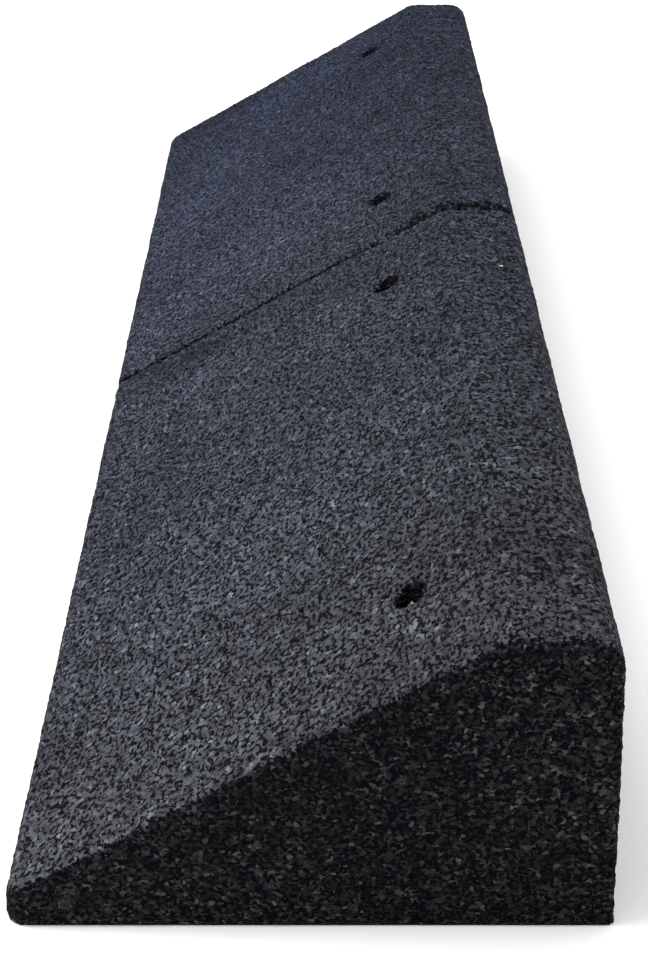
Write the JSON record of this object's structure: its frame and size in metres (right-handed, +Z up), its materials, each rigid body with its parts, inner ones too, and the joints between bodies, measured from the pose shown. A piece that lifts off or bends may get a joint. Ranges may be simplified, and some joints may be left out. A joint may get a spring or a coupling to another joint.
{
  "type": "portable rubber kerb ramp",
  "caption": "Kerb ramp for wheelchairs and trolleys: two loose wedge modules of bonded rubber granulate laid end to end, each with a low lip, a slope, a flat crest and upright anchor holes.",
  "frame": {"origin": "on the ground, midway between the two modules, below the middle of their width", "axes": "+X from the low edge to the upright back, +Y along the run from the near module to the far one, +Z up"},
  "size_m": [0.3, 1.503, 0.155],
  "materials": {
    "rubber_granulate": "matt bonded granulate, open grain of 2 to 4 mm"
  },
  "bodies": {
    "near_module": {"near_module": "rubber_granulate"},
    "far_module": {"far_module": "rubber_granulate"}
  },
  "joints": [
    {"name": "module_spacing", "type": "slide", "parent": "near_module", "child": "far_module", "axis": [0, 1, 0], "range_m": [0, 0.75]}
  ]
}
